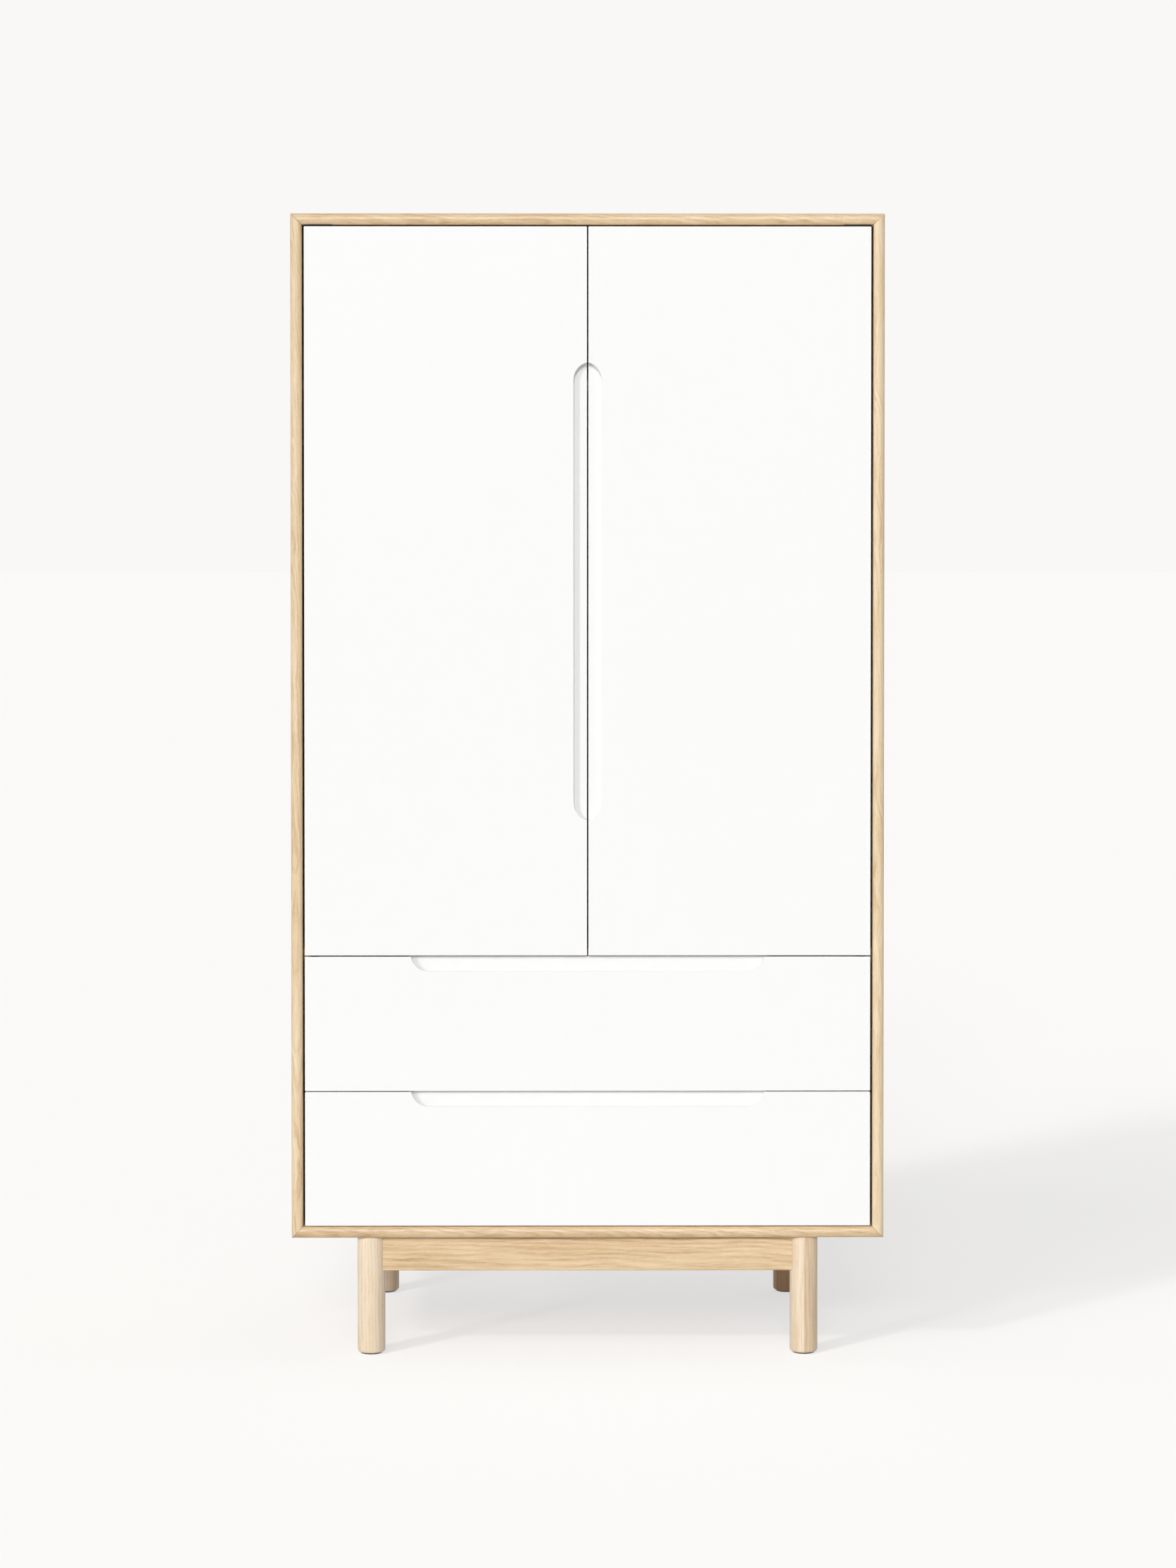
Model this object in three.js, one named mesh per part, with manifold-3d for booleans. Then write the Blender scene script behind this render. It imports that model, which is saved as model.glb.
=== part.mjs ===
// Armoire: a mitred oak carcass on a low round-legged base, with two inset doors on pivot hinges
// above two full-width drawers on telescopic runners.
//
// Millimetres, +Z up. The origin is on the floor under the middle of the armoire. The front looks
// along -Y, and +X is to the right of a person facing it. "side" is -1 on the left, +1 on the right.

import * as THREE from 'three';
import { mergeVertices } from 'three/addons/utils/BufferGeometryUtils.js';
import Module from 'manifold-3d';

const wasm = await Module();
wasm.setup();

// ---------------------------------------------------------------- driving dimensions

// Overall
const width = 1000;
const depth = 550;
const height = 1928;
const baseHeight = 200;

// Carcass boards
const boardThickness = 19;
const noseDepth = 5.5;
const backThickness = 6;
const rebateWidth = 8;

// Gaps round the fronts
const frontSetback = 1.5;
const sideGap = 4;
const topGap = 3;
const bottomGap = 2;
const doorGap = 2.5;
const doorDrawerGap = 2.5;
const drawerGap = 2;

// Clearances
const seatGap = 0.3;
const swingClearance = 1;
const shelfPlay = 1;

// Doors and drawer fronts
const frontThickness = 20;
const frontCornerRadius = 1.5;
const drawerFrontHeight = 226.5;

// Finger pockets: a recess from the edge of the front, undercut behind a lip
const gripDepth = 12;
const gripLip = 5;
const gripUndercut = 3;
const gripCornerRadius = 30;
const doorGripLength = 773;
const doorGripReach = 22.5;
const drawerGripLength = 597;
const drawerGripReach = 24.5;

// Pivot hinges
const pinRadius = 3;
const pinSlip = 0.15;
const pinLength = 12;
const bushRadius = 5;
const bushLength = 15;
const bracketSheet = 1.5;
const bracketWidth = 24;
const bracketNose = 8;
const plateLength = 46;

// Magnetic catches
const catchWidth = 44;
const catchDepth = 16;
const catchHeight = 13;
const catchGap = 1.8;
const catchInset = 40;

// Hat shelf, its pins and the hanging rail
const hatShelfDrop = 259;
const hatShelfSetback = 25;
const shelfEdgeRadius = 1.5;
const shelfPinInset = 60;
const shelfHoleRadius = 2.5;
const shelfHoleDepth = 10;
const shelfHolePitch = 32;
const shelfHoleRows = 5;
const pinHeadRadius = 4;
const pinHeadLength = 8;
const railDrop = 45;
const railRadius = 12.5;
const railWall = 1.5;
const socketFlange = 18;
const socketBase = 3;
const socketWall = 2.5;
const socketLength = 14;

// Base
const legDiameter = 47;
const legInsetX = 133;
const legInsetY = 32;
const footRadius = 5;
const glideRadius = 19;
const glideHeight = 1.5;
const baseRailHeight = 58.5;
const baseRailThickness = 26;
const baseRailEdge = 2;

// Drawer boxes
const drawerBoard = 12;
const drawerBoxHeight = 160;
const drawerBoxRise = 22;
const drawerRearClearance = 20;
const drawerBottomThickness = 6;
const drawerBottomRise = 10;
const drawerGroove = 6;

// Telescopic runners
const runnerSpace = 12.7;
const runnerHeight = 45;
const runnerRise = 60;
const runnerSheet = 1.2;
const runnerSlip = 0.4;
const runnerCage = 2;
const runnerEndClearance = 2;

// Roundness
const barSegments = 24;
const legSegments = 40;
const smallSegments = 12;
const arcSegments = 4;

// ---------------------------------------------------------------- derived places

const front = -depth / 2;
const back = depth / 2;
const innerHalf = width / 2 - boardThickness;
const innerLow = baseHeight + boardThickness;
const innerHigh = height - boardThickness;
const rebateDepth = backThickness + 2 * seatGap;
const backPanelFront = back - rebateDepth + seatGap;

const frontFace = front + frontSetback;
const frontBackFace = frontFace + frontThickness;
const frontHalfWidth = innerHalf - sideGap;

const lowerDrawerLow = innerLow + bottomGap;
const upperDrawerLow = lowerDrawerLow + drawerFrontHeight + drawerGap;
const doorLow = upperDrawerLow + drawerFrontHeight + doorDrawerGap;
const doorHigh = innerHigh - topGap;
const doorWidth = frontHalfWidth - doorGap / 2;

// The pivot is set so far in from the hinge edge that the edge's corners, swinging round it, stay
// swingClearance short of the side panel.
const swingRoom = sideGap - swingClearance;
const pivotInset = ((frontThickness / 2) ** 2 - swingRoom ** 2) / (2 * swingRoom);
const swingRadius = pivotInset + swingRoom;
const pivotX = frontHalfWidth - pivotInset;
const pivotY = frontFace + frontThickness / 2;
const shelfFront = pivotY + swingRadius + swingClearance;
const hatShelfFront = shelfFront + hatShelfSetback;

const fixedShelfMiddle = doorLow - doorDrawerGap / 2;
const fixedShelfLow = fixedShelfMiddle - boardThickness / 2;
const hatShelfHigh = innerHigh - hatShelfDrop;
const hatShelfLow = hatShelfHigh - boardThickness;
const shelfPinZ = hatShelfLow - seatGap - pinHeadRadius;
const shelfPinFront = hatShelfFront + shelfPinInset;
const shelfPinBack = backPanelFront - shelfPinInset;
const railZ = hatShelfLow - railDrop;
const railY = (shelfFront + backPanelFront) / 2;

const legX = width / 2 - legInsetX;
const legY = depth / 2 - legInsetY;
const legRadius = legDiameter / 2;

const drawerBoxFront = frontBackFace + seatGap;
const drawerBoxBack = backPanelFront - drawerRearClearance;
const drawerBoxHalf = innerHalf - runnerSpace;
const drawerBottomZ = drawerBoxRise + drawerBottomRise;

// ---------------------------------------------------------------- finishes

const finishes = {
  oak: { color: 0xe2c8a2, roughness: 0.55, metalness: 0 },
  white: { color: 0xf7f7f4, roughness: 0.45, metalness: 0 },
  drawerBoard: { color: 0xeadbc0, roughness: 0.6, metalness: 0 },
  zinc: { color: 0xb9bcc0, roughness: 0.35, metalness: 1 },
  chrome: { color: 0xd6d9dc, roughness: 0.15, metalness: 1 },
  blackSteel: { color: 0x24211f, roughness: 0.5, metalness: 0.6 },
  nylon: { color: 0xd9d7d0, roughness: 0.5, metalness: 0 },
  darkPlastic: { color: 0x2b2521, roughness: 0.7, metalness: 0 },
};

// ---------------------------------------------------------------- solids

// A closed three.js geometry as a manifold solid, and back again.
function solid(geometry) {
  geometry.deleteAttribute('normal');
  geometry.deleteAttribute('uv');
  const merged = mergeVertices(geometry, 1e-4);
  return new wasm.Manifold(new wasm.Mesh({
    numProp: 3,
    vertProperties: new Float32Array(merged.attributes.position.array),
    triVerts: new Uint32Array(merged.index.array),
  }));
}

function geometryOf(body) {
  const mesh = body.getMesh();
  const geometry = new THREE.BufferGeometry();
  geometry.setAttribute('position', new THREE.BufferAttribute(new Float32Array(mesh.vertProperties), 3));
  geometry.setIndex(new THREE.BufferAttribute(new Uint32Array(mesh.triVerts), 1));
  geometry.computeVertexNormals();
  return geometry;
}

// Extrusions of an outline along each axis. The outline's two coordinates are (x, y) along Z,
// (x, z) along Y and (y, z) along X.
const outlineToXZ = new THREE.Matrix4().makeBasis(
  new THREE.Vector3(1, 0, 0),
  new THREE.Vector3(0, 0, 1),
  new THREE.Vector3(0, -1, 0),
);
const outlineToYZ = new THREE.Matrix4().makeBasis(
  new THREE.Vector3(0, 1, 0),
  new THREE.Vector3(0, 0, 1),
  new THREE.Vector3(1, 0, 0),
);

function extrusion(shape, length) {
  return new THREE.ExtrudeGeometry(shape, { depth: length, bevelEnabled: false, curveSegments: arcSegments });
}

function alongZ(shape, low, high) {
  return extrusion(shape, high - low).translate(0, 0, low);
}

function alongY(shape, low, high) {
  return extrusion(shape, high - low).applyMatrix4(outlineToXZ).translate(0, high, 0);
}

function alongX(shape, low, high) {
  return extrusion(shape, high - low).applyMatrix4(outlineToYZ).translate(low, 0, 0);
}

function polygon(points) {
  return new THREE.Shape(points.map(([u, v]) => new THREE.Vector2(u, v)));
}

function roundedRectangle(uLow, uHigh, vLow, vHigh, radius) {
  const shape = new THREE.Shape();
  const quarter = Math.PI / 2;
  shape.absarc(uHigh - radius, vLow + radius, radius, -quarter, 0, false);
  shape.absarc(uHigh - radius, vHigh - radius, radius, 0, quarter, false);
  shape.absarc(uLow + radius, vHigh - radius, radius, quarter, 2 * quarter, false);
  shape.absarc(uLow + radius, vLow + radius, radius, 2 * quarter, 3 * quarter, false);
  shape.closePath();
  return shape;
}

function rectangle(uLow, uHigh, vLow, vHigh) {
  return polygon([[uLow, vLow], [uHigh, vLow], [uHigh, vHigh], [uLow, vHigh]]);
}

// A round bar and a turned piece about the Z axis. The profile's points are (radius, z).
function roundBar(radius, low, high, segments) {
  const bar = new THREE.CylinderGeometry(radius, radius, high - low, segments);
  return bar.rotateX(Math.PI / 2).translate(0, 0, (low + high) / 2);
}

function turned(profile, segments) {
  const points = profile.map(([radius, z]) => new THREE.Vector2(radius, z));
  return new THREE.LatheGeometry(points, segments).rotateX(Math.PI / 2);
}

function ringProfile(inner, outer, low, high) {
  return [[inner, low], [outer, low], [outer, high], [inner, high], [inner, low]];
}

const armoire = new THREE.Group();
armoire.name = 'armoire';

function place(name, geometry, finish, parent = armoire, position = [0, 0, 0], turn = 0) {
  const mesh = new THREE.Mesh(geometry, new THREE.MeshStandardMaterial(finishes[finish]));
  mesh.name = name;
  mesh.position.set(...position);
  mesh.rotation.y = turn;
  parent.add(mesh);
  return mesh;
}

const sides = [
  { side: -1, label: 'left' },
  { side: 1, label: 'right' },
];
const ends = [
  { end: -1, label: 'front' },
  { end: 1, label: 'rear' },
];

// ---------------------------------------------------------------- carcass

// Section of a carcass board in (y, z): outer face at z = 0, inner face at z = -boardThickness,
// a convex nose in front and a rebate for the back panel behind.
function boardSection() {
  const half = boardThickness / 2;
  const noseRadius = (noseDepth ** 2 + half ** 2) / (2 * noseDepth);
  const noseAngle = Math.asin(half / noseRadius);
  const shape = new THREE.Shape();
  shape.absarc(front + noseRadius, -half, noseRadius, Math.PI - noseAngle, Math.PI + noseAngle, false);
  shape.lineTo(back - rebateDepth, -boardThickness);
  shape.lineTo(back - rebateDepth, rebateWidth - boardThickness);
  shape.lineTo(back, rebateWidth - boardThickness);
  shape.lineTo(back, 0);
  shape.closePath();
  return shape;
}

// A carcass board with mitred ends, lying along X with its outer face up.
function mitredBoard(length) {
  const board = solid(alongX(boardSection(), -length / 2, length / 2));
  const over = 1;
  const outerHalf = length / 2 - seatGap / Math.SQRT2 + over;
  const innerEnd = outerHalf - boardThickness - 2 * over;
  const blank = polygon([
    [-outerHalf, over],
    [-innerEnd, -boardThickness - over],
    [innerEnd, -boardThickness - over],
    [outerHalf, over],
  ]);
  return board.intersect(solid(alongY(blank, front - over, back + over)));
}

// Turns about Y that bring a board lying along X to each side, with its inner face inwards.
const turnOf = (side) => side * Math.PI / 2;

function sidePanel(side) {
  let panel = mitredBoard(height - baseHeight);
  const middle = (height + baseHeight) / 2;
  for (let row = 0; row < shelfHoleRows; row += 1) {
    const z = shelfPinZ + (row - (shelfHoleRows - 1) / 2) * shelfHolePitch;
    for (const y of [shelfPinFront, shelfPinBack]) {
      const hole = roundBar(
        shelfHoleRadius,
        -boardThickness - 1,
        -boardThickness + shelfHoleDepth,
        smallSegments,
      );
      panel = panel.subtract(solid(hole.translate(-side * (z - middle), y, 0)));
    }
  }
  return geometryOf(panel);
}

for (const { side, label } of sides) {
  const position = [side * width / 2, 0, (height + baseHeight) / 2];
  place(`side_panel_${label}`, sidePanel(side), 'oak', armoire, position, turnOf(side));
}
place('top_panel', geometryOf(mitredBoard(width)), 'oak', armoire, [0, 0, height]);
place('bottom_panel', geometryOf(mitredBoard(width)), 'oak', armoire, [0, 0, baseHeight], Math.PI);

function shelf(halfWidth, low, frontEdge) {
  const section = roundedRectangle(
    frontEdge,
    backPanelFront - seatGap,
    low,
    low + boardThickness,
    shelfEdgeRadius,
  );
  return alongX(section, -halfWidth, halfWidth);
}

place('fixed_shelf', shelf(innerHalf - seatGap, fixedShelfLow, shelfFront), 'oak');
place('hat_shelf', shelf(innerHalf - shelfPlay, hatShelfLow, hatShelfFront), 'oak');

const backHalf = innerHalf + rebateWidth - seatGap;
const backLow = innerLow - rebateWidth + seatGap;
const backHigh = innerHigh + rebateWidth - seatGap;
place(
  'back_panel',
  alongY(rectangle(-backHalf, backHalf, backLow, backHigh), backPanelFront, backPanelFront + backThickness),
  'oak',
);

// ---------------------------------------------------------------- hat shelf pins and hanging rail

// The pins and sockets are turned about an axis that runs into the side panel, from z = 0 at the
// panel's inner face: +z is into the panel.
const shelfPinProfile = [
  [0, -pinHeadLength],
  [pinHeadRadius, -pinHeadLength],
  [pinHeadRadius, -seatGap],
  [shelfHoleRadius - seatGap, -seatGap],
  [shelfHoleRadius - seatGap, shelfHoleDepth - seatGap],
  [0, shelfHoleDepth - seatGap],
];

const socketBore = railRadius + seatGap;
const socketProfile = [
  [0, -seatGap - socketBase],
  [socketBore, -seatGap - socketBase],
  [socketBore, -seatGap - socketLength],
  [socketBore + socketWall, -seatGap - socketLength],
  [socketBore + socketWall, -seatGap - socketBase],
  [socketFlange, -seatGap - socketBase],
  [socketFlange, -seatGap],
  [0, -seatGap],
];

for (const { side, label } of sides) {
  for (const { end, label: endLabel } of ends) {
    const y = end < 0 ? shelfPinFront : shelfPinBack;
    place(
      `shelf_pin_${endLabel}_${label}`,
      turned(shelfPinProfile, smallSegments),
      'zinc',
      armoire,
      [side * innerHalf, y, shelfPinZ],
      turnOf(side),
    );
  }
  place(
    `rail_socket_${label}`,
    turned(socketProfile, barSegments),
    'chrome',
    armoire,
    [side * innerHalf, railY, railZ],
    turnOf(side),
  );
}

const railHalf = innerHalf - socketBase - 2 * seatGap;
place(
  'hanging_rail',
  turned(ringProfile(railRadius - railWall, railRadius, -railHalf, railHalf), barSegments),
  'chrome',
  armoire,
  [0, railY, railZ],
  turnOf(1),
);

// ---------------------------------------------------------------- base

function legProfile() {
  const low = glideHeight + seatGap;
  const profile = [[0, low]];
  for (let step = 0; step <= arcSegments; step += 1) {
    const angle = (step / arcSegments) * (Math.PI / 2);
    profile.push([
      legRadius - footRadius + footRadius * Math.sin(angle),
      low + footRadius - footRadius * Math.cos(angle),
    ]);
  }
  profile.push([legRadius, baseHeight - seatGap]);
  profile.push([0, baseHeight - seatGap]);
  return profile;
}

const glideProfile = [
  [0, 0],
  [glideRadius - 1, 0],
  [glideRadius, 1],
  [glideRadius, glideHeight],
  [0, glideHeight],
];

for (const { side, label } of sides) {
  for (const { end, label: endLabel } of ends) {
    const position = [side * legX, end * legY, 0];
    place(`leg_${endLabel}_${label}`, turned(legProfile(), legSegments), 'oak', armoire, position);
    place(`glide_${endLabel}_${label}`, turned(glideProfile, barSegments), 'darkPlastic', armoire, position);
  }
}

// A rail from leg to leg, hollowed at both ends to fit round them.
function copedRail(blank, legPlaces) {
  let rail = solid(blank);
  const top = baseHeight - seatGap;
  for (const [x, y] of legPlaces) {
    const leg = turned([
      [0, top - baseRailHeight - 1],
      [legRadius + seatGap, top - baseRailHeight - 1],
      [legRadius + seatGap, top + 1],
      [0, top + 1],
    ], legSegments);
    rail = rail.subtract(solid(leg.translate(x, y, 0)));
  }
  return geometryOf(rail);
}

function railSection(middle) {
  return roundedRectangle(
    middle - baseRailThickness / 2,
    middle + baseRailThickness / 2,
    baseHeight - seatGap - baseRailHeight,
    baseHeight - seatGap,
    baseRailEdge,
  );
}

for (const { end, label } of ends) {
  const blank = alongX(railSection(end * legY), -legX, legX);
  place(`base_rail_${label}`, copedRail(blank, [[-legX, end * legY], [legX, end * legY]]), 'oak');
}
for (const { side, label } of sides) {
  const blank = alongY(railSection(side * legX), -legY, legY);
  place(`base_rail_${label}`, copedRail(blank, [[side * legX, -legY], [side * legX, legY]]), 'oak');
}

// ---------------------------------------------------------------- finger pockets

// The cutter for a pocket whose outline on the front face is the given rectangle. Behind the lip
// it widens all round.
function gripCutter(xLow, xHigh, zLow, zHigh, face) {
  const mouth = roundedRectangle(xLow, xHigh, zLow, zHigh, gripCornerRadius);
  const hollow = roundedRectangle(
    xLow - gripUndercut,
    xHigh + gripUndercut,
    zLow - gripUndercut,
    zHigh + gripUndercut,
    gripCornerRadius + gripUndercut,
  );
  const lipCut = solid(alongY(mouth, face - 1, face + gripLip + 1));
  return lipCut.add(solid(alongY(hollow, face + gripLip, face + gripDepth)));
}

// How far a cutter runs past the edge it opens through, so that its far round corners are outside.
const gripOverrun = 2 * (gripCornerRadius + gripUndercut);

// ---------------------------------------------------------------- doors

// A door and its hinge pieces are drawn from the pivot axis. "inward" turns a distance from the
// pivot towards the middle of the armoire into a local x.
function door(side) {
  const inward = (distance) => -side * distance;
  const face = -frontThickness / 2;
  const hingeEdge = inward(-pivotInset);
  const freeEdge = inward(doorWidth - pivotInset);
  const outline = roundedRectangle(
    Math.min(hingeEdge, freeEdge),
    Math.max(hingeEdge, freeEdge),
    doorLow,
    doorHigh,
    frontCornerRadius,
  );
  let leaf = solid(alongY(outline, face, face + frontThickness));

  const gripFrom = inward(doorWidth - pivotInset - doorGripReach);
  const gripTo = inward(doorWidth - pivotInset + gripOverrun);
  const middle = (doorLow + doorHigh) / 2;
  leaf = leaf.subtract(gripCutter(
    Math.min(gripFrom, gripTo),
    Math.max(gripFrom, gripTo),
    middle - doorGripLength / 2,
    middle + doorGripLength / 2,
    face,
  ));

  const bore = bushLength + 3 * seatGap;
  const boreRadius = bushRadius + seatGap;
  leaf = leaf.subtract(solid(roundBar(boreRadius, doorLow - 1, doorLow + bore, barSegments)));
  leaf = leaf.subtract(solid(roundBar(boreRadius, doorHigh - bore, doorHigh + 1, barSegments)));
  return geometryOf(leaf);
}

function bush(low) {
  return turned(ringProfile(pinRadius + pinSlip, bushRadius, low, low + bushLength), barSegments);
}

// The plate under the top panel, with its pin pointing down into the door.
function pivotPlate(side) {
  const plateHigh = innerHigh - seatGap;
  const plateLow = plateHigh - bracketSheet;
  const outer = -side * -pivotInset;
  const inner = -side * (plateLength - pivotInset);
  const outline = roundedRectangle(
    Math.min(outer, inner),
    Math.max(outer, inner),
    -bracketNose,
    bracketWidth - bracketNose,
    frontCornerRadius,
  );
  const plate = solid(alongZ(outline, plateLow, plateHigh));
  const pin = solid(roundBar(pinRadius, doorHigh - pinLength, plateLow + bracketSheet / 2, barSegments));
  return geometryOf(plate.add(pin));
}

// The angle bracket on the fixed shelf's front edge: its leaf is on the edge, and its tongue runs
// forward between door and drawer to carry the lower pin.
function pivotBracket() {
  const tongueLow = fixedShelfMiddle - bracketSheet / 2;
  const tongueHigh = tongueLow + bracketSheet;
  const leafBack = shelfFront - seatGap - pivotY;
  const half = bracketWidth / 2;
  const outline = new THREE.Shape();
  outline.moveTo(half, leafBack);
  outline.lineTo(-half, leafBack);
  outline.lineTo(-bracketNose, 0);
  outline.absarc(0, 0, bracketNose, Math.PI, 2 * Math.PI, false);
  outline.closePath();
  const tongue = solid(alongZ(outline, tongueLow, tongueHigh));
  const leafShape = rectangle(-half, half, fixedShelfLow + seatGap, tongueHigh);
  const leaf = solid(alongY(leafShape, leafBack - bracketSheet, leafBack));
  const pin = solid(roundBar(pinRadius, tongueLow + bracketSheet / 2, doorLow + pinLength, barSegments));
  return geometryOf(tongue.add(leaf).add(pin));
}

function catchBlock(side) {
  const middle = side * (doorGap / 2 + catchInset);
  const outline = roundedRectangle(
    middle - catchWidth / 2,
    middle + catchWidth / 2,
    frontBackFace + catchGap,
    frontBackFace + catchGap + catchDepth,
    2,
  );
  return alongZ(outline, innerHigh - seatGap - catchHeight, innerHigh - seatGap);
}

for (const { side, label } of sides) {
  const hinge = new THREE.Group();
  hinge.position.set(side * pivotX, pivotY, 0);
  armoire.add(hinge);
  place(`door_${label}`, door(side), 'white', hinge);
  place(`bush_top_${label}`, bush(doorHigh - seatGap - bushLength), 'nylon', hinge);
  place(`bush_bottom_${label}`, bush(doorLow + seatGap), 'nylon', hinge);
  place(`pivot_plate_${label}`, pivotPlate(side), 'blackSteel', hinge);
  place(`pivot_bracket_${label}`, pivotBracket(), 'blackSteel', hinge);
  place(`door_catch_${label}`, catchBlock(side), 'darkPlastic');
}

// ---------------------------------------------------------------- drawers

// A drawer is drawn with z = 0 at the lower edge of its front.
const grooveLow = drawerBottomZ - seatGap;
const grooveHigh = drawerBottomZ + drawerBottomThickness + seatGap;
const boxHigh = drawerBoxRise + drawerBoxHeight;

function drawerFront() {
  const outline = roundedRectangle(-frontHalfWidth, frontHalfWidth, 0, drawerFrontHeight, frontCornerRadius);
  const panel = solid(alongY(outline, frontFace, frontBackFace));
  const grip = gripCutter(
    -drawerGripLength / 2,
    drawerGripLength / 2,
    drawerFrontHeight - drawerGripReach,
    drawerFrontHeight + gripOverrun,
    frontFace,
  );
  const inner = drawerBoxHalf - drawerBoard + drawerGroove;
  const groove = alongY(
    rectangle(-inner, inner, grooveLow, grooveHigh),
    frontBackFace - drawerGroove,
    frontBackFace + 1,
  );
  return geometryOf(panel.subtract(grip).subtract(solid(groove)));
}

// A drawer board standing on edge, with a groove in its inner face for the bottom. Its section's
// first coordinate runs from the outer face towards the inside of the drawer.
function groovedSection(outer, inwards) {
  const inner = outer + inwards * drawerBoard;
  const grooveFloor = inner - inwards * drawerGroove;
  return polygon([
    [outer, drawerBoxRise],
    [inner, drawerBoxRise],
    [inner, grooveLow],
    [grooveFloor, grooveLow],
    [grooveFloor, grooveHigh],
    [inner, grooveHigh],
    [inner, boxHigh],
    [outer, boxHigh],
  ]);
}

function drawerSide(side) {
  return alongY(groovedSection(side * drawerBoxHalf, -side), drawerBoxFront, drawerBoxBack);
}

function drawerBack() {
  const half = drawerBoxHalf - drawerBoard - seatGap;
  return alongX(groovedSection(drawerBoxBack, -1), -half, half);
}

function drawerBottom() {
  const half = drawerBoxHalf - drawerBoard + drawerGroove - seatGap;
  const low = frontBackFace - drawerGroove + seatGap;
  const high = drawerBoxBack - drawerBoard + drawerGroove - seatGap;
  return alongZ(rectangle(-half, half, low, high), drawerBottomZ, drawerBottomZ + drawerBottomThickness);
}

// ---------------------------------------------------------------- runners

// Each runner is three nested channels. A channel's section is drawn in (distance from the side
// panel, z): its web stands at "web" and its flanges reach to "tip".
function channel(side, web, tip, halfHeight, flange) {
  const toX = (distance) => side * (innerHalf - distance);
  const webInner = web + Math.sign(tip - web) * runnerSheet;
  const middle = drawerBoxRise + runnerRise;
  const section = [
    [web, -halfHeight],
    [tip, -halfHeight],
    [tip, flange - halfHeight],
    [webInner, flange - halfHeight],
    [webInner, halfHeight - flange],
    [tip, halfHeight - flange],
    [tip, halfHeight],
    [web, halfHeight],
  ];
  const outline = polygon(section.map(([distance, z]) => [toX(distance), middle + z]));
  return alongY(outline, drawerBoxFront + runnerEndClearance, drawerBoxBack - runnerEndClearance);
}

const cabinetWeb = seatGap;
const middleWeb = cabinetWeb + runnerSheet + runnerSlip;
const drawerWeb = runnerSpace - seatGap;
const outerTip = drawerWeb - runnerSheet - runnerSlip;
const innerTip = middleWeb + runnerSheet + runnerSlip;
const cabinetHalf = runnerHeight / 2;
const middleHalf = cabinetHalf - runnerSheet - runnerSlip;
const middleFlange = runnerSheet + runnerCage;
const drawerHalf = middleHalf - middleFlange - runnerSlip;

const drawers = [
  { label: 'lower', low: lowerDrawerLow },
  { label: 'upper', low: upperDrawerLow },
];

for (const { label, low } of drawers) {
  const drawer = new THREE.Group();
  drawer.position.z = low;
  armoire.add(drawer);
  place(`drawer_front_${label}`, drawerFront(), 'white', drawer);
  place(`drawer_back_${label}`, drawerBack(), 'drawerBoard', drawer);
  place(`drawer_bottom_${label}`, drawerBottom(), 'drawerBoard', drawer);
  for (const { side, label: sideLabel } of sides) {
    const end = `${sideLabel}_${label}`;
    place(`drawer_side_${end}`, drawerSide(side), 'drawerBoard', drawer);
    place(
      `runner_cabinet_${end}`,
      channel(side, cabinetWeb, outerTip, cabinetHalf, runnerSheet),
      'blackSteel',
      drawer,
    );
    place(
      `runner_middle_${end}`,
      channel(side, middleWeb, outerTip, middleHalf, middleFlange),
      'blackSteel',
      drawer,
    );
    place(
      `runner_drawer_${end}`,
      channel(side, drawerWeb, innerTip, drawerHalf, runnerSheet),
      'blackSteel',
      drawer,
    );
  }
}

export default armoire;
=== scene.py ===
"""The looks of the armoire: procedural materials on the CAD pieces, softened edges, the small
fittings that the CAD model leaves out, a pale floor, soft studio light and the camera."""

import math

import bmesh
import bpy
from mathutils import Matrix, Vector


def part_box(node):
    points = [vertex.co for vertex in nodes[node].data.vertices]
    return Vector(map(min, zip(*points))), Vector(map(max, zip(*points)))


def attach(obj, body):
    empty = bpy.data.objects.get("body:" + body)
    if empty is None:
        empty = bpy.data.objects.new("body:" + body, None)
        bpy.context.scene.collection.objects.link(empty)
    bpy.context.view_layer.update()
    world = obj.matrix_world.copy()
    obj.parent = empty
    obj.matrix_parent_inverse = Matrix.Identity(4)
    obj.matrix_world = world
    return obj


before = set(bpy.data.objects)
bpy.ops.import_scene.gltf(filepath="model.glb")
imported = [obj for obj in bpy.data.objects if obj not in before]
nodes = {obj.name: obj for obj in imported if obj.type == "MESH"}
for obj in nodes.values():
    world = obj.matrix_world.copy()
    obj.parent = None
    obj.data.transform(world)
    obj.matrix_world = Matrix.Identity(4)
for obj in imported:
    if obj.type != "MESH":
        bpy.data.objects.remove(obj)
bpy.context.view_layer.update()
MM = 0.001

SIDES = {"left": -1, "right": 1}
LEVELS = ("lower", "upper")


# ------------------------------------------------------------------ node tree helpers

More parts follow.
